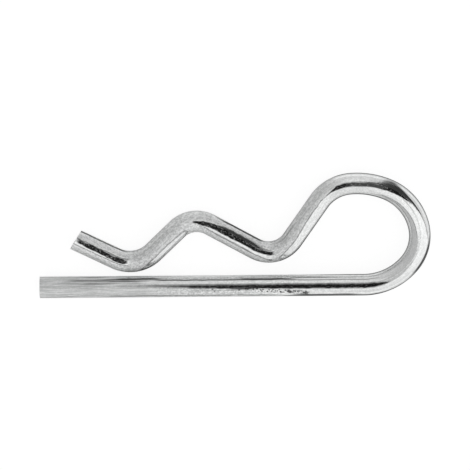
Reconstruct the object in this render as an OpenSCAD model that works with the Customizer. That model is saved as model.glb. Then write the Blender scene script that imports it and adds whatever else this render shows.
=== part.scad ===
// R clip: a hitch pin clip bent from one piece of round spring wire.
// Its straight leg goes through the cross hole of a shaft, and its wavy arm snaps over the shaft.
// The clip lies flat. Its leg points along -X, its eye is at +X and its arm runs back above the leg.
// Radii are those of the wire's centreline. Directions and tilts are in degrees from the leg.

/* [Wire] */
// Diameter of the spring wire
wire_d = 4; // [3:0.1:5]
// Bevel round the wire's two cut ends
end_bevel = 0.2; // [0.1:0.05:0.5]

/* [Whole clip] */
// Length over all, from the leg's cut end to the outside of the eye
overall_len = 73; // [72:0.5:90]
// Gap between the leg and the lowest point of the arm
leg_gap = 0.7; // [0.3:0.1:1.5]

/* [Eye] */
// Radius of the bend that lifts the wire off the end of the leg
foot_r = 11.4; // [10:0.1:13]
// Direction of the wire where that bend ends
foot_dir = 48.5; // [44:0.5:54]
// Radius of the tight bend at the far end of the eye
nose_r = 8; // [7:0.1:9.5]
// Direction of the wire where the nose ends
nose_dir = 104.5; // [98:0.5:110]
// Radius of the bend from the nose up to the crown
back_r = 9.8; // [8.5:0.1:11.5]
// Direction of the wire where the back ends
back_dir = 157.5; // [150:0.5:165]
// Radius of the flat crown of the eye
crown_r = 15.1; // [12:0.1:18]
// Direction of the wire where the crown ends
crown_dir = 184.5; // [182:0.5:190]
// Radius of the bend from the crown down into the arm
shoulder_r = 7.9; // [6.5:0.1:9.5]

/* [Arm] */
// Tilt of the straight run down from the eye
slope_tilt = 54.5; // [50:0.5:58]
// Radius of the trough next to the eye
inner_trough_r = 5.4; // [4.5:0.1:7]
// Tilt of the long straight run up to the crest
rise_tilt = 28.5; // [24:0.5:33]
// Length of that run
rise_len = 9.5; // [8:0.1:11]
// Radius of the crest that arches over the shaft
crest_r = 5.3; // [4.5:0.1:7]
// Tilt of the straight run down from the crest
fall_tilt = 43.5; // [39:0.5:48]
// Length of that run
fall_len = 6.1; // [5:0.1:7.5]
// Radius of the trough nearest the tip
outer_trough_r = 6.3; // [5:0.1:8]
// Tilt of the raised tip, which leads the shaft in
tip_tilt = 25.5; // [20:0.5:32]
// Length of the tip's straight run
tip_len = 7.9; // [6:0.1:9.5]

/* [Hidden] */
$fn = 72;

// The runs of the wire are numbered from the leg. Those with an odd number are all bends and are
// this much fatter all round, so that their thinner neighbours can run on and end inside them.
swell = 0.01;
// How far a thinner run goes on past its end
lap = 0.2;

slope_dir = 180 + slope_tilt;
rise_dir = 180 - rise_tilt;
fall_dir = 180 + fall_tilt;
tip_dir = 180 - tip_tilt;

// A straight run is [length], and a bend is [radius, angle], positive where it turns left
EYE = [
    [foot_r, foot_dir],
    [nose_r, nose_dir - foot_dir],
    [back_r, back_dir - nose_dir],
    [crown_r, crown_dir - back_dir],
    [shoulder_r, slope_dir - crown_dir]
];
ARM = [
    [inner_trough_r, rise_dir - slope_dir],
    [rise_len],
    [crest_r, fall_dir - rise_dir],
    [fall_len],
    [outer_trough_r, tip_dir - fall_dir],
    [tip_len]
];

// Angle that a run turns through, and the step from its start to its end when it sets off at dir
function turn_of(run) = len(run) == 1 ? 0 : run[1];
function step_of(run, dir) = len(run) == 1
    ? run[0] * [cos(dir), sin(dir)]
    : sign(run[1]) * run[0] * [sin(dir + run[1]) - sin(dir), cos(dir) - cos(dir + run[1])];

// Direction and place at the start of run i of a list that sets off at dir
function dir_at(runs, i, dir) = i == 0 ? dir : dir_at(runs, i - 1, dir) + turn_of(runs[i - 1]);
function place_at(runs, i, dir) = i == 0
    ? [0, 0]
    : place_at(runs, i - 1, dir) + step_of(runs[i - 1], dir_at(runs, i - 1, dir));

// The eye's outermost and highest points, where the wire runs straight up and straight back
eye_reach = place_at([EYE[0], [nose_r, 90 - foot_dir]], 2, 0).x;
eye_top = place_at([EYE[0], EYE[1], EYE[2], [crown_r, 180 - back_dir]], 4, 0).y;
leg_len = overall_len - wire_d / 2 - eye_reach;

// Heights of the two troughs' lowest points above the end of the slope, which is made just long
// enough for the lower of them to clear the leg by the gap
inner_dip = step_of([inner_trough_r, -slope_tilt], slope_dir).y;
outer_dip = place_at([ARM[0], ARM[1], ARM[2], ARM[3], [outer_trough_r, -fall_tilt]], 5, slope_dir).y;
eye_end = place_at(EYE, len(EYE), 0).y;
slope_len = (eye_end + min(inner_dip, outer_dip) - wire_d - leg_gap) / sin(slope_tilt);

RUNS = concat([[leg_len]], EYE, [[slope_len]], ARM);
LAST = len(RUNS) - 1;

// A straight run between two bends, along +X from the origin
module straight_run(length) {
    translate([-lap, 0, 0]) rotate([0, 90, 0]) cylinder(d = wire_d, h = length + 2 * lap);
}

// A straight run whose start is the wire's cut end, turned as one profile about the wire's axis
module cut_run(length) {
    r = wire_d / 2;
    rotate([0, 90, 0]) rotate_extrude() polygon([
        [0, 0], [r - end_bevel, 0], [r, end_bevel], [r, length + lap], [0, length + lap]
    ]);
}

// A bend that leaves the origin along +X
module bent_run(radius, angle, fat) {
    side = sign(angle);
    lap_angle = fat ? 0 : lap / radius * 180 / PI;
    translate([0, side * radius, 0])
        rotate([0, 0, -side * (90 + lap_angle)])
            rotate_extrude(angle = angle + side * 2 * lap_angle)
                translate([radius, 0]) circle(d = wire_d + (fat ? 2 * swell : 0));
}

// The whole wire, with the middle of its box over the origin and its underside on the ground
module clip() {
    color("silver")
        translate([-overall_len / 2, -(eye_top - swell) / 2, wire_d / 2 + swell])
            for (i = [0 : LAST])
                translate(place_at(RUNS, i, 0)) rotate([0, 0, dir_at(RUNS, i, 0)])
                    if (i == 0) cut_run(leg_len);
                    else if (i == LAST) translate([tip_len, 0, 0]) mirror([1, 0, 0]) cut_run(tip_len);
                    else if (len(RUNS[i]) == 1) straight_run(RUNS[i][0]);
                    else bent_run(RUNS[i][0], RUNS[i][1], i % 2 == 1);
}

clip();
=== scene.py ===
import math

import bpy
import numpy as np
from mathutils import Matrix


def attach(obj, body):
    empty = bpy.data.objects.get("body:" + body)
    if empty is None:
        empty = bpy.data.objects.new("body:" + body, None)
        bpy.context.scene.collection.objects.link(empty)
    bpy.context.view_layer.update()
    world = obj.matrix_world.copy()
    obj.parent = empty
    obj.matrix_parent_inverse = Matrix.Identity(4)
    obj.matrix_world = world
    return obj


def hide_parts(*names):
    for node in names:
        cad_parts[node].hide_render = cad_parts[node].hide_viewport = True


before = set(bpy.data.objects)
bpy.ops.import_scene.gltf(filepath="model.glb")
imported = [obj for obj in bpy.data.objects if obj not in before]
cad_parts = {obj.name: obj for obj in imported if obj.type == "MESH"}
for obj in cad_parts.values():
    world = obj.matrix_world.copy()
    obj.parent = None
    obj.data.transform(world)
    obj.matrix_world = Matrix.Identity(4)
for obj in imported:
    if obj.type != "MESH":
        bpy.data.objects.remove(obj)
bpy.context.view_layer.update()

MM = 0.001
rng = np.random.default_rng(41)

# ---------------------------------------------------------------- the wire's dimensions, in mm and degrees
WIRE_D = 4.0
WIRE_R = WIRE_D / 2
OVERALL_LEN = 73.0
LEG_GAP = 0.7
# The eye's five bends, and the wire's heading after each of the first four
EYE_RADII = (11.4, 8.0, 9.8, 15.1, 7.9)
EYE_DIRS = (48.5, 104.5, 157.5, 184.5)
SLOPE_TILT = 54.5
INNER_TROUGH_R = 5.4
RISE_TILT, RISE_LEN = 28.5, 9.5
CREST_R = 5.3
FALL_TILT, FALL_LEN = 43.5, 6.1
OUTER_TROUGH_R = 6.3
TIP_TILT, TIP_LEN = 25.5, 7.9
# The tip was sheared a little out of square: how far its end reaches past TIP_LEN, how much less that is for
# each mm to the right, and over what length of wire the reach grows
SHEAR_REACH, SHEAR_SLANT, SHEAR_LEN = 0.355, 0.12, 3.0
# The solid lies on its bends, which are this much fatter than the straight runs
SWELL = 0.01
AXIS_Z = WIRE_R + SWELL

# The mesh: distance between its rings, points on each ring, and the cut ends' dome height and rim radius
RING_STEP = 0.2
SIDES = 112
DOME, RIM = 0.04, 0.05

# ---------------------------------------------------------------- wear along the wire, in mm
# Places along the wire are measured from the leg's cut end. Sideways places are measured from the middle of
# the wire's top, positive to the right.

# Flats that the rolls and bending dies pressed along the top, each painted with a dark reflection: places
# along the wire, left and right edge there, and how soft each of the two edges is
FLATS = (
    ((15.0, 19.0, 24.0, 30.0, 36.0, 62.5, 65.4), (-0.03, -0.06, -0.16, -0.24, -0.30, -0.30, 0.42),
     (0.0, 0.03, 0.20, 0.42, 0.54, 0.56, 0.50), (0.60, 0.50, 0.45, 0.50, 0.50, 0.40, 0.10),
     (0.60, 0.50, 0.40, 0.40, 0.10, 0.05, 0.05)),
    ((81.6, 82.9, 84.4, 86.9, 89.7, 91.6, 96.8, 98.2, 99.6),
     (0.56, 0.24, -0.04, -0.34, -0.49, -0.51, -0.53, -0.42, -0.30),
     (0.62, 0.50, 0.34, 0.42, 0.34, 0.21, 0.19, -0.24, -0.26),
     (0.05, 0.05, 0.05, 0.05, 0.14, 0.18, 0.12, 0.05, 0.05),
     (0.05, 0.05, 0.05, 0.05, 0.14, 0.18, 0.12, 0.05, 0.05)),
    ((113.8, 114.3, 115.9, 121.4, 126.0, 128.4, 129.4, 130.6),
     (-0.80, -0.60, -0.46, -0.42, -0.50, -0.68, -0.52, -0.14),
     (-0.05, 0.0, 0.20, 0.44, 0.44, 0.16, 0.0, -0.02),
     (0.03, 0.05, 0.08, 0.08, 0.08, 0.06, 0.05, 0.05), (0.03, 0.05, 0.08, 0.10, 0.10, 0.08, 0.06, 0.05)),
    ((144.7, 145.1, 145.6, 147.0, 151.3, 154.2, 154.7, 155.0),
     (-0.24, -0.46, -0.57, -0.59, -0.48, -0.43, -0.34, -0.16),
     (0.0, 0.16, 0.20, 0.24, 0.40, 0.33, 0.24, 0.06), (0.06,) * 8, (0.06,) * 8),
)
# Their ends are this many times as soft as their right edges
END_SOFTNESS = 10
# Bright flats that the bending dies pressed, without any softness
FACETS = (
    ((86.0, 90.0, 97.0, 104.7, 108.3, 111.1, 112.5, 114.2),
     (-1.50, -1.66, -1.68, -1.70, -1.70, -1.72, -1.74, -1.76),
     (-1.40, -0.95, -0.60, -0.40, -0.52, -0.62, -0.85, -1.70)),
    ((73.0, 75.0, 80.0, 83.5), (-0.26, -0.30, -0.30, -0.22), (0.12, 0.14, 0.14, 0.10)),
    ((131.4, 133.0, 137.0, 141.0, 143.2), (-1.55, -1.64, -1.67, -1.67, -1.60),
     (-1.50, -0.95, -0.80, -0.90, -1.50)),
)
# Where the top of the wire kept a smooth plate: places along it, left and right edge there, softness of the
# edges and how smooth it is
SHINY = (
    ((14.0, 20.0, 34.0, 50.0, 64.0), (-1.7, -1.45, -1.45, -1.7, -4.0),
     (-1.9, -0.4, 0.3, 2.5, 4.0), 0.9, 1.0),
    ((58.0, 92.5, 97.0, 99.5, 102.0), (-4.0,) * 5, (4.5, 4.5, 1.4, 0.0, -1.2), 2.6, 1.0),
    ((96.5, 99.0, 101.0, 104.7, 106.4, 108.3, 111.1, 112.0, 113.2), (-3.0,) * 9,
     (-0.50, -0.34, -0.24, -0.22, -0.32, -0.47, -0.58, -0.80, -1.35), 0.12, 1.0),
    ((114.2, 115.6, 116.6, 119.0, 124.0, 127.0, 129.0), (-1.65, -1.25, -1.0, -0.92, -0.92, -0.90, -0.8),
     (0.10, 0.50, 0.66, 0.92, 0.92, 0.3, 0.0), 0.10, 1.0),
    ((131.2, 132.6, 137.0, 141.0, 143.2), (-1.35, -1.75, -3.0, -3.0, -1.90),
     (-2.0, -1.18, -0.92, -1.04, -1.90), 0.12, 0.9),
    ((144.8, 155.3), (-0.80, -0.80), (0.44, 0.44), 0.10, 1.0),
)
# A smooth plate whose edges are crisper than this has a thin painted dark border, a painted reflection line:
# its strength on the edge, held down to 1, and how fast (mm) that falls to both sides
CRISP, BORDER_PEAK, BORDER = 0.5, 1.2, 0.1
# How light the dull plate is: places along the wire and the lightness there
LEVELS = ((0.0, 25.0, 31.0, 43.0, 50.0, 106.0, 113.4, 115.0, 127.0, 132.0, 135.0, 143.5, 147.0, 155.3),
          (1.0, 1.0, 1.06, 1.06, 1.0, 1.0, 0.97, 1.17, 1.18, 1.05, 0.95, 0.92, 1.22, 1.28))
# The underside: where it begins to turn smooth, is smooth, begins to turn dull and is dull again
SMOOTH_BELOW = (24.0, 46.0, 104.0, 112.0)
# Thin dark lines painted along the wire as dark reflections: start, end, sideways place, half width,
# strength.
# Each fades in over the first length below and out over the second one.
LINE_FADES = (3.0, 4.0)
PAINTED_DARK_LINES = (
    (4.5, 14.5, -1.16, 0.17, 1.1),
    (10.5, 21.0, -1.32, 0.20, 1.2),
    (13.0, 24.5, -1.40, 0.27, 1.7),
    (11.0, 22.0, -1.02, 0.18, 1.1),
    (7.2, 14.2, -1.74, 0.09, 1.3),
    (6.6, 16.0, -0.61, 0.14, 1.2),
    (3.0, 10.0, -0.68, 0.11, 0.3),
    (13.0, 21.0, -0.16, 0.16, 0.55),
    (19.0, 36.0, -0.22, 0.30, 0.45),
    (20.4, 49.0, -1.14, 0.17, 1.5),
    (36.0, 48.5, -1.24, 0.27, 1.4),
    (44.0, 65.0, -1.04, 0.14, 1.0),
    (27.5, 39.5, 0.84, 0.11, 0.6),
    (34.5, 42.0, 0.50, 0.38, 1.5),
    (3.0, 9.0, 1.74, 0.10, 0.7),
    (12.0, 46.0, 1.70, 0.14, 0.8),
    (46.0, 61.0, 1.72, 0.24, 1.2),
    (55.0, 66.0, 1.84, 0.16, 1.0),
    (68.0, 77.0, 1.72, 0.28, 1.5),
    (61.0, 78.0, -1.42, 0.35, 0.20),
    (71.0, 90.0, -1.76, 0.16, 0.45),
    (114.8, 128.5, -1.06, 0.09, 1.0),
    (115.4, 127.6, 1.80, 0.20, 1.7),
    (84.0, 114.0, -1.87, 0.13, 0.6),
    (106.2, 114.4, 1.33, 0.16, 0.55),
    (84.6, 89.0, 1.38, 0.52, 2.3),
    (63.0, 79.0, -1.66, 0.24, 0.4),
    (140.6, 148.5, -1.82, 0.13, 0.9),
    (144.0, 161.0, 1.80, 0.17, 1.3),
    (114.0, 129.0, -1.87, 0.12, 0.5),
    (-3.0, 17.0, 0.08, 0.62, 0.17),
)
# The scuffed line on the leg: places along the wire, with its sideways place at each, the half widths between
# which its edge fades, and the lengths over which it fades in and out
SCUFF = ((28.5, 0.82), (35.5, 0.74), (37.6, 0.54), (39.6, 0.64), (43.0, 0.96), (46.5, 1.12), (48.9, 1.26),
         (50.6, 1.44))
SCUFF_HALF = (0.22, 0.40)
SCUFF_FADES = (2.0, 0.8)
# Where its scuffs get denser, where they crowd for a stretch, and where they get bigger and denser again
SCUFFS_DENSER = (36.5, 41.0)
SCUFFS_CROWD = (36.4, 37.2, 38.6, 40.4)
SCUFFS_BIGGER = (45.3, 46.1)
# Painted light on the leg's left flank, which faces the arm: along the wire, and from which side on
PAINTED_LIGHT_FLANK = (6.0, 14.0, 46.0, 58.0)
PAINTED_LIGHT_SIDE = (-1.65, -1.35)
# The leg's worn end, and the handled stretch after it with a stronger speckle
WORN = (16.0, 30.0)
HANDLED = (20.0, 28.0, 46.0, 52.0)
# The marks fade in between these heights above the wire's axis
ON_TOP = (0.0, 0.3)
# Where the plate begins to shine like metal, the arm's speckle gets stronger, and the flats' painted dark
# reflection gets patchy
METALLIC_FROM = (28.0, 46.0)
SPECKLED_FROM = (96.0, 110.0)
PATCHY_FROM = (66.0, 82.0)
# The eye's flat, where its painted dark reflection is lighter
LIGHTER_REFLECTION = (86.5, 89.0, 93.8, 95.0)
# The rough edges of the patches, the flats and the lines: length and size of their bumps
PATCH_BUMPS, FLAT_BUMPS, NO_BUMPS, LINE_BUMPS = (0.6, 0.05), (0.6, 0.06), (0.6, 0.0), (1.6, 0.04)
# The cut ends: angles of the rings on the rim (degrees), and radii of those on the face as shares of its own
RIM_ANGLES = (22, 45, 68, 90)
FACE_RINGS = (0.88, 0.7, 0.5, 0.3, 0.12)


def step_of(run, heading):
    """The step along a run, [length] if straight and [radius, angle] if bent, that sets off at heading."""
    h = math.radians(heading)
    if len(run) == 1:
        return np.array([math.cos(h), math.sin(h)]) * run[0]
    radius, angle = run
    h2 = h + math.radians(angle)
    return math.copysign(radius, angle) * np.array([math.sin(h2) - math.sin(h), math.cos(h) - math.cos(h2)])


def walk(runs, heading):
    """Place at the end of a list of runs that starts at the origin."""
    place = np.zeros(2)
    for run in runs:
        place = place + step_of(run, heading)
        heading += run[1] if len(run) == 2 else 0.0
    return place


def wire_runs():
    """All the wire's runs from the leg's cut end, and the height of the eye's top."""
    slope, rise = 180 + SLOPE_TILT, 180 - RISE_TILT
    fall, tip = 180 + FALL_TILT, 180 - TIP_TILT
    turns = np.diff((0.0, *EYE_DIRS, slope))
    eye = [[r, a] for r, a in zip(EYE_RADII, turns)]
    arm = [[INNER_TROUGH_R, rise - slope], [RISE_LEN], [CREST_R, fall - rise], [FALL_LEN],
           [OUTER_TROUGH_R, tip - fall], [TIP_LEN]]
    reach = walk([eye[0], [EYE_RADII[1], 90 - EYE_DIRS[0]]], 0)[0]
    top = walk([*eye[:3], [EYE_RADII[3], 180 - EYE_DIRS[2]]], 0)[1]
    leg = OVERALL_LEN - WIRE_R - reach
    dips = (step_of([INNER_TROUGH_R, -SLOPE_TILT], slope)[1],
            walk([*arm[:4], [OUTER_TROUGH_R, -FALL_TILT]], slope)[1])
    drop = walk(eye, 0)[1] + min(dips) - WIRE_D - LEG_GAP
    return [[leg], *eye, [drop / math.sin(math.radians(SLOPE_TILT))], *arm], top


def centreline():
    """Distance, place and heading (radians) of each ring along the wire, from the leg's cut end."""
    runs, top = wire_runs()
    place, heading = np.array([-OVERALL_LEN / 2, -(top - SWELL) / 2]), 0.0
    along, places, headings, done = [], [], [], 0.0
    for run in runs:
        length = run[0] if len(run) == 1 else run[0] * abs(math.radians(run[1]))
        count = math.ceil(length / RING_STEP)
        for part in np.arange(count) / count:
            piece = [run[0] * part] if len(run) == 1 else [run[0], run[1] * part]
            along.append(done + length * part)
            places.append(place + (step_of(piece, heading) if part else 0))
            headings.append(heading + (0 if len(run) == 1 else run[1] * part))
        place = place + step_of(run, heading)
        heading += run[1] if len(run) == 2 else 0.0
        done += length
    return (np.array([*along, done]), np.array([*places, place]), np.radians([*headings, heading]))


def ripple(along, length, size):
    """Smooth random values along the wire, about size either way, with bumps about length apart."""
    knots = np.arange(along[0] - length, along[-1] + 2 * length, length)
    return np.interp(along, knots, rng.uniform(-size, size, len(knots)))


def step(value, low, high):
    """A smooth step from 0 at low to 1 at high."""
    part = np.clip((value - low) / (high - low), 0, 1)
    return part * part * (3 - 2 * part)


def outline(along, side, top, places, lefts, rights, bumps):
    """How far (mm) each point is inside the left and the right edge of an outline with such bumps on its
    edges, how far it is from the outline's ends, and the angles of the edges without their bumps."""
    left, right = np.interp(along, places, lefts), np.interp(along, places, rights)
    ends = np.minimum(along - places[0], places[-1] - along)[:, None]
    from_left = side - (left + ripple(along, *bumps))[:, None]
    to_right = (right + ripple(along, *bumps))[:, None] - side
    far_out = -9.0
    within = [np.where(top & (ends > 0), inside, far_out) for inside in (from_left, to_right)]
    angles = [np.arcsin(np.clip(edge / WIRE_R, -1, 1))[:, None] for edge in (left, right)]
    return within, ends, angles


def soft_edge(inside, soft):
    """0 well outside an edge, a half on it and 1 well inside it."""
    return np.clip(0.5 + inside / soft, 0, 1)


def flattened(out, theta, ends, angles):
    """The surface, cut back to a plane between two angles."""
    a, b = angles
    # The least cosine keeps the plane's distance finite on the wire's far side, where it isn't used
    least = 0.3
    chord = WIRE_R * np.cos((b - a) / 2) / np.maximum(np.cos(theta - (a + b) / 2), least)
    return np.where((theta > a) & (theta < b) & (ends > 0), np.minimum(out, chord), out)


def radii(along, theta):
    """Distance of the surface from the wire's axis and its finish with painted shade (polish, the painted
    dark reflection of a pressed flat, the painted dark border of a smooth plate), a row for each ring. theta
    is measured from the top towards the right."""
    shape = (len(along), len(theta))
    out, painted_reflection_mask, painted_border_shade = np.full(shape, WIRE_R), np.zeros(shape), np.zeros(shape)
    side = np.broadcast_to(WIRE_R * np.sin(theta), shape)
    top = np.broadcast_to(np.cos(theta) > 0, shape)
    polish = np.where(top, 0, np.interp(along, SMOOTH_BELOW, (0, 1, 1, 0))[:, None])

    for places, lefts, rights, soft, shine in SHINY:
        within, _, _ = outline(along, side, top, places, lefts, rights, PATCH_BUMPS)
        depth = np.minimum(*within)
        polish = np.maximum(polish, soft_edge(depth, soft) * shine)
        if soft < CRISP:
            # Painted dark border along a crisp plate edge
            painted_border_shade = np.maximum(painted_border_shade, np.clip(BORDER_PEAK - np.abs(depth) / BORDER, 0, 1))
    for places, lefts, rights in FACETS:
        _, ends, angles = outline(along, side, top, places, lefts, rights, NO_BUMPS)
        out = flattened(out, theta, ends, angles)
    for places, lefts, rights, *softs in FLATS:
        within, ends, angles = outline(along, side, top, places, lefts, rights, FLAT_BUMPS)
        depth = np.minimum(*within)
        softs = [np.interp(along, places, soft)[:, None] for soft in softs]
        inside = np.clip(ends / (END_SOFTNESS * softs[1]), 0, 1)
        for far_in, soft in zip(within, softs):
            inside = inside * soft_edge(far_in, soft)
        out = flattened(out, theta, ends, angles)
        # How much painted dark reflection the flat gets
        painted_reflection_mask = np.maximum(painted_reflection_mask, inside)
        polish = np.where(depth > 0, 1.0, polish)
        painted_border_shade = np.where(depth > -BORDER, 0.0, painted_border_shade)
    return out, np.stack([polish, painted_reflection_mask, painted_border_shade], 2)


def scuffs_and_painted_light(along, side, up):
    """How dark the painted dark reflection lines are, how much of the scuffed line there is and how much
    painted light the leg's flank gets, a row for each ring."""
    ring = along[:, None]
    sway = ripple(along, *LINE_BUMPS)[:, None]
    fade_in, fade_out = LINE_FADES
    painted_dark_lines = np.zeros(side.shape)
    for start, end, across, width, strength in PAINTED_DARK_LINES:
        # Painted dark reflection lines
        painted_line = step(np.abs(side + sway - across), width, 0.0) * strength
        painted_line = painted_line * step(ring, start, start + fade_in) * step(ring, end, end - fade_out)
        painted_dark_lines = np.maximum(painted_dark_lines, painted_line)
    places, across = zip(*SCUFF)
    fade_in, fade_out = SCUFF_FADES
    scuff = step(np.abs(side - np.interp(along, places, across)[:, None]), *SCUFF_HALF[::-1])
    scuff = scuff * step(ring, places[0], places[0] + fade_in) * step(ring, places[-1], places[-1] - fade_out)
    on_top = step(up, *ON_TOP)
    # Painted light on the leg's left flank
    painted_light_flank = step(side, *PAINTED_LIGHT_SIDE[::-1]) * np.interp(along, PAINTED_LIGHT_FLANK, (0, 1, 1, 0))[:, None]
    return np.stack([painted_dark_lines * on_top, scuff * on_top, painted_light_flank], 2)


def end_rings():
    """Radius, as a share of the wire's, and reach (mm) of each ring that closes a cut end: the rounded rim,
    and then the slightly domed face."""
    rim = [(1 - RIM / WIRE_R * (1 - math.cos(t)), RIM * math.sin(t)) for t in np.radians(RIM_ANGLES)]
    edge = rim[-1][0]
    return rim + [(edge * r, RIM + DOME * (1 - r * r)) for r in FACE_RINGS]


def add_ends(verts, straight, wear, faces, places, headings):
    """Closes both ends. The last ring moves back, so that the dome's top is where the wire ends."""
    verts, straight, wear = list(verts), list(straight), list(wear)
    for sign, end in ((-1, 0), (1, -1)):
        base = 0 if sign < 0 else (len(places) - 1) * SIDES
        ahead = sign * np.array([math.cos(headings[end]), math.sin(headings[end]), 0])
        axis = np.array([*places[end], AXIS_Z])
        spokes = np.array(verts[base:base + SIDES]) - axis
        centre = axis - ahead * (DOME + RIM)
        for q in range(SIDES):
            verts[base + q] = centre + spokes[q]
        last = list(range(base, base + SIDES))
        for share, reach in end_rings():
            new = list(range(len(verts), len(verts) + SIDES))
            for q in range(SIDES):
                along, side, up = straight[base + q]
                verts.append(centre + spokes[q] * share + ahead * reach)
                straight.append([along + sign * reach, side * share, up * share])
                wear.append([float(reach > RIM), wear[base + q][1], 0.0])
            for q in range(SIDES):
                q2 = (q + 1) % SIDES
                quad = [last[q], new[q], new[q2], last[q2]]
                faces.append(quad if sign < 0 else quad[::-1])
            last = new
        faces.append(last if sign > 0 else last[::-1])
    return np.array(verts), np.array(straight), np.array(wear), faces


def wire_mesh():
    """The wire's skin. Attributes say for each point where it lies on the straightened-out wire (along it,
    sideways and up), its wear (cut face, lightness of the dull plate), its finish with painted dark
    reflections, and its marks with painted shade and painted light."""
    along, places, headings = centreline()
    theta = (np.arange(SIDES) / SIDES * 2 - 1) * math.pi
    out, finish_and_painted_shade = radii(along, theta)
    side, up = out * np.sin(theta), out * np.cos(theta)
    marks_and_painted_light = scuffs_and_painted_light(along, side, up)
    right = np.stack([np.sin(headings), -np.cos(headings)], 1)
    xy = places[:, None, :] + side[:, :, None] * right[:, None, :]
    verts = np.concatenate([xy, (AXIS_Z + up)[:, :, None]], 2).reshape(-1, 3)
    straight = np.stack([np.repeat(along, SIDES), side.ravel(), up.ravel()], 1)
    none = np.zeros(len(verts))
    wear = np.stack([none, np.repeat(np.interp(along, *LEVELS), SIDES), none], 1)

    here = np.arange(SIDES)
    beside = (here + 1) % SIDES
    faces = []
    for base in range(0, len(verts) - SIDES, SIDES):
        faces += (base + np.stack([here + SIDES, beside + SIDES, beside, here], 1)).tolist()
    verts, straight, wear, faces = add_ends(verts, straight, wear, faces, places, headings)

    reach = SHEAR_REACH - SHEAR_SLANT * straight[:, 1]
    reach = reach * step(straight[:, 0], along[-1] - SHEAR_LEN, along[-1])
    verts[:, :2] += reach[:, None] * np.array([math.cos(headings[-1]), math.sin(headings[-1])])

    mesh = bpy.data.meshes.new("clip_wire")
    mesh.from_pydata((verts * MM).tolist(), [], faces)
    mesh.polygons.foreach_set("use_smooth", np.ones(len(mesh.polygons), bool))
    for name, values in (("straight", straight), ("wear", wear), ("finish_and_painted_shade", finish_and_painted_shade), ("marks_and_painted_light", marks_and_painted_light)):
        padded = np.zeros(3 * len(verts))
        padded[:values.size] = values.ravel()
        mesh.attributes.new(name, "FLOAT_VECTOR", "POINT").data.foreach_set("vector", padded)
    mesh.update()
    return mesh


# ---------------------------------------------------------------- shader nodes and materials
class Graph:
    """Short names for building a node tree."""

    def __init__(self, tree):
        self.tree = tree

    def node(self, kind, inputs=(), **props):
        n = self.tree.nodes.new("ShaderNode" + kind)
        for name, value in props.items():
            setattr(n, name, value)
        for name, value in dict(inputs).items():
            self.put(n.inputs[name], value)
        return n

    def put(self, socket, value):
        if isinstance(value, bpy.types.NodeSocket):
            self.tree.links.new(value, socket)
        else:
            socket.default_value = value

    def math(self, op, *values):
        n = self.node("Math", operation=op)
        for socket, value in zip(n.inputs, values):
            self.put(socket, value)
        return n.outputs[0]

    def add(self, *v):
        out = v[0]
        for w in v[1:]:
            out = self.math("ADD", out, w)
        return out

    def mul(self, *v):
        out = v[0]
        for w in v[1:]:
            out = self.math("MULTIPLY", out, w)
        return out

    def plus(self, first, *shares):
        """first, with each value times its weight added to it."""
        return self.add(first, *[self.mul(value, weight) for value, weight in shares])

    def sub(self, a, b):
        return self.math("SUBTRACT", a, b)

    def ramp(self, value, lo, hi, to_lo=0.0, to_hi=1.0):
        """A smooth step from to_lo at lo to to_hi at hi."""
        n = self.node("MapRange", interpolation_type="SMOOTHSTEP")
        names = ("Value", "From Min", "From Max", "To Min", "To Max")
        for name, v in zip(names, (value, lo, hi, to_lo, to_hi)):
            self.put(n.inputs[name], v)
        return n.outputs[0]

    def window(self, value, lo, full, falls, none):
        """Rises from 0 at lo to 1 at full, and falls again from falls to none."""
        return self.mul(self.ramp(value, lo, full), self.ramp(value, falls, none, 1.0, 0.0))

    def mix(self, factor, a, b):
        """a where factor is 0, b where it is 1."""
        n = self.node("Mix", data_type="FLOAT")
        for name, v in ((0, factor), (2, a), (3, b)):
            self.put(n.inputs[name], v)
        return n.outputs[0]

    def mix_colour(self, factor, a, b):
        n = self.node("Mix", data_type="RGBA")
        for name, v in ((0, factor), (6, a), (7, b)):
            self.put(n.inputs[name], v)
        return n.outputs[2]

    def vector(self, x, y, z):
        n = self.node("CombineXYZ")
        for socket, v in zip(n.inputs, (x, y, z)):
            self.put(socket, v)
        return n.outputs[0]

    def parts(self, vector):
        return self.node("SeparateXYZ", {"Vector": vector}).outputs

    def noise(self, where, scale, detail, rough, squeeze=1.0, shift=(0, 0, 0)):
        m = self.node("Mapping", {"Vector": where, "Scale": (squeeze, 1, 1), "Location": shift})
        n = self.node("TexNoise", {"Vector": m.outputs[0], "Scale": scale, "Detail": detail,
                                   "Roughness": rough})
        return n.outputs["Fac"]


def new_material(name):
    mat = bpy.data.materials.new(name)
    mat.use_nodes = True
    mat.node_tree.nodes.clear()
    g = Graph(mat.node_tree)
    return mat, g, g.node("OutputMaterial")


def plate_tint(grey):
    """The zinc's grey, with a faint trace of green."""
    return (grey, grey + 0.008, grey + 0.005, 1)


def grey_tint(grey):
    return (grey, grey, grey, 1)


DULL_TINTS = (plate_tint(0.59), plate_tint(0.90))
SMOOTH_TINTS = (plate_tint(0.71), plate_tint(0.89))
# Tints of the flats' painted dark reflection, of the painted dark lines, and of the pits
PAINTED_REFLECTION_TINT, PAINTED_LINE_SHADE, PIT_TINT = grey_tint(0.012), grey_tint(0.12), grey_tint(0.03)
# The plate's textures: scale (to the mm), octaves, roughness, and the share of that scale along the wire, if
# it is less. The scuffs' cells have the first and the last of these.
MOTTLE = (2.4, 3, 0.6)
GRAIN = (4.2, 2, 0.7, 0.7)
PATCHES, PATCHES_SHIFT = (2.4, 2, 0.6, 0.6), (7, 3, 1)
CLOUDS = (0.8, 3, 0.6)
DRAW_MARKS = (4.0, 2, 0.6, 0.05)
FINE_MARKS = (14.0, 1, 0.5, 0.03)
DULL_MARKS = (7.0, 2, 0.6, 0.06)
FLAT_SPECKS = (4.0, 2, 0.7, 0.8)
CUT_GRAIN = (3.0, 4, 0.7)
SCUFF_CELLS = (3.5, 0.85)
# How high the relief stands (mm)
RELIEF = 0.014


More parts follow.
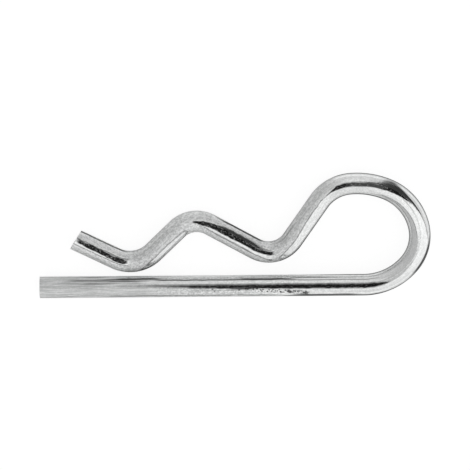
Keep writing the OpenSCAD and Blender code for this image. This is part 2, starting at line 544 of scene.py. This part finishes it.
def scuff_pits(g, along, side, scuffed):
    """How deep a scuff each point has: round cells of random size, some left out, on the scuffed line."""
    bigger = g.ramp(along, *SCUFFS_BIGGER)
    many = g.plus(g.ramp(along, *SCUFFS_DENSER, -0.56, 0.04), (bigger, 0.30),
                  (g.window(along, *SCUFFS_CROWD), 0.40))
    scale, squeeze = SCUFF_CELLS
    where = g.vector(g.mul(along, squeeze), side, 0.0)
    cells = g.node("TexVoronoi", {"Vector": where, "Scale": scale}, voronoi_dimensions="2D")
    pick, size, _ = g.parts(cells.outputs["Color"])
    reach = g.plus(0.32, (size, 0.30), (bigger, 0.18))
    spots = g.ramp(g.sub(cells.outputs["Distance"], reach), -0.12, 0.08, 1.0, 0.0)
    spots = g.mul(spots, g.ramp(g.add(pick, many), 0.34, 0.40))
    return g.mul(spots, scuffed, g.ramp(size, 0.0, 0.8, 0.45, 1.0))


def zinc():
    """Bright zinc plate over drawn wire: fine draw lines, a soft mottle, duller rubbed stretches, pressed
    flats painted with a dark reflection, painted dark reflection lines and borders, painted light on the
    leg's flank, one line of scuffs and the cut ends."""
    mat, g, out = new_material("bright_zinc")

    def attribute(name):
        return g.node("Attribute", attribute_name=name, attribute_type="GEOMETRY").outputs["Vector"]

    place = attribute("straight")
    along, side, up = g.parts(place)
    cut, level, _ = g.parts(attribute("wear"))
    polish, painted_reflection_mask, painted_border_shade = g.parts(attribute("finish_and_painted_shade"))
    painted_dark_lines, scuffed, painted_light_flank = g.parts(attribute("marks_and_painted_light"))

    mottle = g.noise(place, *MOTTLE)
    grain = g.noise(place, *GRAIN)
    patches = g.noise(place, *PATCHES, shift=PATCHES_SHIFT)
    draw_marks = g.noise(place, *DRAW_MARKS)
    clouds = g.noise(place, *CLOUDS)
    smooth = g.ramp(g.plus(polish, (g.sub(clouds, 0.5), 0.8)), 0.2, 0.8)
    dull = g.sub(1.0, smooth)
    worn = g.ramp(along, *WORN, 1.0, 0.0)
    handled = g.mul(g.window(along, *HANDLED), g.ramp(up, 0.2, 1.0))

    # The smooth plates' painted dark borders
    painted_border_lines = g.mul(painted_border_shade, g.ramp(mottle, 0.35, 0.6, 0.6, 1.1), g.ramp(up, *ON_TOP))
    marks_and_painted_light = g.math("MAXIMUM", painted_dark_lines, painted_border_lines)
    pits = scuff_pits(g, along, side, scuffed)

    # The speckle and the draw marks pick a grey between two tints
    speckle = g.add(g.mul(g.sub(patches, 0.5), 1.6), g.mul(g.sub(grain, 0.5), 2.4))
    speckled = g.add(g.plus(1.0, (worn, -0.6), (handled, 1.5)), g.ramp(along, *SPECKLED_FROM, 0.0, 0.5))
    streaked = g.plus(1.6, (worn, 2.0))
    tone = g.plus(0.5, (speckle, speckled), (g.sub(draw_marks, 0.5), streaked), (worn, -0.2),
                  (handled, -0.08))
    # The leg's left flank gets painted light
    dull_plate = g.node("VectorMath", {0: g.mix_colour(tone, *DULL_TINTS), 3: g.plus(level, (painted_light_flank, 0.46))},
                        operation="SCALE")
    colour = g.mix_colour(smooth, dull_plate.outputs[0], g.mix_colour(tone, *SMOOTH_TINTS))

    # The flats get a painted dark reflection, with lighter specks and one lighter stretch
    specks = g.noise(place, *FLAT_SPECKS)
    between_specks = g.ramp(specks, 0.53, 0.71, 1.0, g.ramp(along, *PATCHY_FROM, 0.80, 0.62))
    painted_dark_reflection = g.mul(painted_reflection_mask, between_specks, g.sub(1.0, g.mul(g.window(along, *LIGHTER_REFLECTION), 0.10)))
    # Painted dark reflection on the flats
    colour = g.mix_colour(painted_dark_reflection, colour, PAINTED_REFLECTION_TINT)
    # Painted dark reflection lines and borders
    colour = g.mix_colour(g.mul(marks_and_painted_light, 0.85), colour, PAINTED_LINE_SHADE)
    colour = g.mix_colour(g.mul(pits, 0.9), colour, PIT_TINT)

    rough = g.plus(0.06, (mottle, 0.06), (dull, 0.46), (cut, 0.15), (marks_and_painted_light, 0.3))
    metallic = g.sub(g.ramp(dull, 0.0, 1.0, 1.0, 0.88), g.ramp(along, *METALLIC_FROM, 0.40, 0.0))

    relief = g.mix(smooth, g.sub(1.5, worn), 0.40)
    fine_marks = g.noise(place, *FINE_MARKS)
    dull_marks = g.mul(g.noise(place, *DULL_MARKS), 0.5)
    cut_grain = g.mul(g.noise(place, *CUT_GRAIN), 3.0)
    height = g.plus(g.mul(mottle, relief), (grain, g.mul(relief, 0.5)), (draw_marks, 0.2), (fine_marks, 0.08),
                    (dull, dull_marks), (cut, cut_grain), (pits, -3.0), (marks_and_painted_light, -0.6))
    bump = g.node("Bump", {"Strength": 1.0, "Distance": RELIEF * MM, "Height": height})
    shader = g.node("BsdfPrincipled", {"Base Color": colour, "Metallic": metallic, "Roughness": rough,
                                       "Specular Tint": g.vector(painted_light_flank, painted_light_flank, painted_light_flank),
                                       "Normal": bump.outputs[0]})
    g.tree.links.new(shader.outputs[0], out.inputs[0])
    return mat


# The table's glow, and how much of it replaces the lit table for the camera and for mirrors
GLOW, LIFT = 1.19, 0.72
# How near to the wire the table's glow fades in mirrors (mm), a painted shade, and how fast
FADE_WITHIN, FADE_POWER = 8.0, 2.0
TABLE_GREY = 0.76
# Half of the table's width, in metres
TABLE_HALF = 3.0


def floor_material():
    """A pale satin table. The camera sees it lifted to white, with the clip's shadow left in. Mirrors see it
    lifted too, but close to the wire that lift fades with ambient occlusion, a painted shade."""
    mat, g, out = new_material("pale_table")
    path = g.node("LightPath").outputs
    nearby = g.node("AmbientOcclusion", {"Distance": FADE_WITHIN * MM}, samples=8)
    # Painted shade: mirrors see the glow fade near the wire
    glow_left_by_painted_shade = g.math("POWER", nearby.outputs["AO"], FADE_POWER)
    lift = g.add(g.mul(path["Is Camera Ray"], LIFT), g.mul(path["Is Glossy Ray"], glow_left_by_painted_shade, LIFT))
    satin = g.node("BsdfPrincipled", {"Base Color": grey_tint(TABLE_GREY), "Roughness": 0.10, "IOR": 1.80})
    glow = g.node("Emission", {"Color": (1, 1, 1, 1), "Strength": GLOW})
    both = g.node("MixShader", {0: lift})
    g.tree.links.new(satin.outputs[0], both.inputs[1])
    g.tree.links.new(glow.outputs[0], both.inputs[2])
    g.tree.links.new(both.outputs[0], out.inputs[0])
    return mat


def floor():
    mesh = bpy.data.meshes.new("table")
    s = TABLE_HALF
    mesh.from_pydata([(-s, -s, 0), (s, -s, 0), (s, s, 0), (-s, s, 0)], [], [(0, 1, 2, 3)])
    mesh.materials.append(floor_material())
    obj = bpy.data.objects.new("table", mesh)
    bpy.context.scene.collection.objects.link(obj)


# ---------------------------------------------------------------- studio
# Directions are laid out on an equal-area disc: straight up is its middle and the horizon is at 0.707. Places
# and distances are on that disc, and a side is an angle in degrees.

# The light of the tent, of the soft panel, of the camera's arm, of the dark rims, of the strip beside the arm
# and of what the camera itself sees behind the table
GREY, PANEL, DARK, RIM_DARK, STRIP, WHITE = 0.55, 1.12, 0.045, 0.10, 0.84, 1.0
# The side towards which the tent gets lighter, by how much, and from where to where
TENT_SIDE, TENT_LIGHTER, TENT_FROM = 40, 0.22, (-0.1, 0.4)
# The soft panel: its middle, each edge's side and distance from it, and how square its corners are. Its soft
# edge and its dark rim are shares of its size.
PANEL_AT = (0.15, -0.33)
PANEL_EDGES = ((0, 0.70), (32, 0.62), (65, 0.61), (108, 0.465), (145, 0.535), (180, 0.53), (215, 0.495),
               (255, 0.53))
PANEL_SQUARE = 12.0
PANEL_SOFT = (0.985, 1.01)
PANEL_RIM, PANEL_RIM_STRENGTH = (0.99, 1.02, 1.05, 1.09), 0.75
# The side towards which the panel gets darker, by how much, and from where to where
PANEL_SIDE, PANEL_DARKER, PANEL_FROM = 262, 0.26, (-0.35, 0.35)
# The panel ends below an edge that rises to the right of the middle: its slope, the height where it turns
# level, and how soft it is
SLANT, SLANT_TOP, SLANT_SOFT = 0.83, 0.187, (0.004, 0.024)
# The round camera mount before the panel: its middle, its soft edge, its rim and where it begins on the left
MOUNT_AT = (-0.037, -0.183)
MOUNT_SOFT = (0.180, 0.194)
MOUNT_RIM, MOUNT_RIM_STRENGTH = (0.170, 0.185, 0.190, 0.205), 0.12
MOUNT_SIDE = (-0.02, -0.01)
# The dark arm that carries the camera: each edge's side and distance from straight up, how soft those are,
# its lower edge above the slant, and the gap in it straight up
ARM_EDGES = ((156.5, 0.036), (90, 0.74))
ARM_SOFT = 0.025
ARM_LOW = (-0.015, 0.02)
ARM_GAP = (0.05, 0.09)
# The arm's right end: where it is at the height of the middle, how it slants, where that stops and how soft
# it is
ARM_END, ARM_END_SLANT, ARM_END_LEAST, ARM_END_SOFT = 0.71, 0.93, 0.385, 0.03
# The light strip behind the arm's left edge: its height, and how far it goes to both sides
STRIP_HEIGHT, STRIP_HALF = (0.15, 0.18, 0.455, 0.465), (0.04, 0.09)


class Sky(Graph):
    """A world's node tree, with each direction's place on the disc."""

    def __init__(self, tree):
        super().__init__(tree)
        x, y, z = self.parts(self.node("TexCoord").outputs["Generated"])
        # Straight down, where z is -1, this would be infinite without a least value
        least = 0.002
        scale = self.math("INVERSE_SQRT", self.math("MAXIMUM", self.mul(self.add(z, 1.0), 2.0), least))
        self.x, self.y = self.mul(x, scale), self.mul(y, scale)

    def distance(self, cx, cy):
        """How far a direction lies from (cx, cy)."""
        dx, dy = self.sub(self.x, cx), self.sub(self.y, cy)
        return self.math("SQRT", self.add(self.mul(dx, dx), self.mul(dy, dy)))

    def towards(self, angle, cx=0.0, cy=0.0):
        """How far a direction lies from (cx, cy) towards this side."""
        c, s = math.cos(math.radians(angle)), math.sin(math.radians(angle))
        return self.add(self.mul(self.x, c), self.mul(self.y, s), -c * cx - s * cy)

    def panel_size(self):
        """How far out on the panel a direction lies: 1 on its edge."""
        total = 0.0
        for angle, distance in PANEL_EDGES:
            share = self.mul(self.towards(angle, *PANEL_AT), 1 / distance)
            total = self.add(total, self.math("POWER", self.math("MAXIMUM", share, 0.0), PANEL_SQUARE))
        return self.math("POWER", total, 1 / PANEL_SQUARE)

    def arm(self, slant):
        """1 on the camera's arm."""
        end = self.math("MAXIMUM", self.sub(ARM_END, self.mul(self.y, ARM_END_SLANT)), ARM_END_LEAST)
        past_end = self.sub(self.x, end)
        arm = self.mul(self.ramp(self.sub(self.y, slant), *ARM_LOW),
                       self.ramp(past_end, -ARM_END_SOFT, ARM_END_SOFT, 1.0, 0.0),
                       self.ramp(self.distance(0.0, 0.0), *ARM_GAP))
        for angle, distance in ARM_EDGES:
            out_by = self.towards(angle)
            arm = self.mul(arm, self.ramp(out_by, distance - ARM_SOFT, distance + ARM_SOFT, 1.0, 0.0))
        return arm


def studio():
    """A light tent all round, one big soft panel at the lower right, and the camera's mount and arm."""
    world = bpy.data.worlds.new("studio")
    bpy.context.scene.world = world
    world.use_nodes = True
    world.node_tree.nodes.clear()
    g = Sky(world.node_tree)
    out = g.node("OutputWorld")

    slant = g.math("MINIMUM", g.mul(g.x, SLANT), SLANT_TOP)
    below = g.ramp(g.sub(g.y, g.math("MAXIMUM", slant, 0.0)), *SLANT_SOFT, 1.0, 0.0)
    size = g.panel_size()
    panel = g.mul(g.ramp(size, *PANEL_SOFT, 1.0, 0.0), below)
    panel_rim = g.mul(g.window(size, *PANEL_RIM), below)
    mount_size = g.distance(*MOUNT_AT)
    mount_side = g.ramp(g.x, *MOUNT_SIDE)
    mount = g.mul(g.ramp(mount_size, *MOUNT_SOFT, 1.0, 0.0), mount_side)
    mount_rim = g.mul(g.window(mount_size, *MOUNT_RIM), mount_side)
    narrow = g.ramp(g.math("ABSOLUTE", g.x), *STRIP_HALF, 1.0, 0.0)
    strip = g.mul(g.window(g.y, *STRIP_HEIGHT), narrow)

    tent = g.add(GREY, g.ramp(g.towards(TENT_SIDE), *TENT_FROM, 0.0, TENT_LIGHTER))
    across = g.towards(PANEL_SIDE, *PANEL_AT)
    light = g.mix(panel, tent, g.ramp(across, *PANEL_FROM, PANEL, PANEL - PANEL_DARKER))
    light = g.mix(mount, light, tent)
    light = g.mix(g.mul(mount_rim, below, MOUNT_RIM_STRENGTH), light, RIM_DARK)
    light = g.mix(strip, light, STRIP)
    light = g.mix(g.mul(panel_rim, PANEL_RIM_STRENGTH), light, RIM_DARK)
    light = g.mix(g.arm(slant), light, DARK)
    light = g.mix(g.node("LightPath").outputs["Is Camera Ray"], light, WHITE)
    back = g.node("Background", {"Color": (1, 1, 1, 1), "Strength": light})
    g.tree.links.new(back.outputs[0], out.inputs[0])


# ---------------------------------------------------------------- camera
# The photo's width (px) and its scale
PICTURE = 470
PX_PER_MM = 5.36
# The camera's height above the wire's axis, and how far it is off the clip's middle (mm) and turned (degrees)
CAM_H = 900.0
CAM_OFF = (0.022, 0.031)
CAM_TURN = -0.486
SENSOR = 36.0


def camera():
    """A far camera straight above the clip."""
    data = bpy.data.cameras.new("camera")
    data.sensor_width = SENSOR
    data.lens = SENSOR * CAM_H / (PICTURE / PX_PER_MM)
    data.clip_start, data.clip_end = 0.01, 10
    cam = bpy.data.objects.new("camera", data)
    bpy.context.scene.collection.objects.link(cam)
    bpy.context.scene.camera = cam
    cam.location = (CAM_OFF[0] * MM, CAM_OFF[1] * MM, (CAM_H + AXIS_Z) * MM)
    cam.rotation_euler = (0, 0, math.radians(CAM_TURN))


# ---------------------------------------------------------------- the scene
wire = bpy.data.objects.new("clip_wire", wire_mesh())
wire.data.materials.append(zinc())
bpy.context.scene.collection.objects.link(wire)
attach(wire, "root")
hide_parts("clip")
floor()
studio()
camera()
bpy.context.scene.view_settings.view_transform = "Standard"
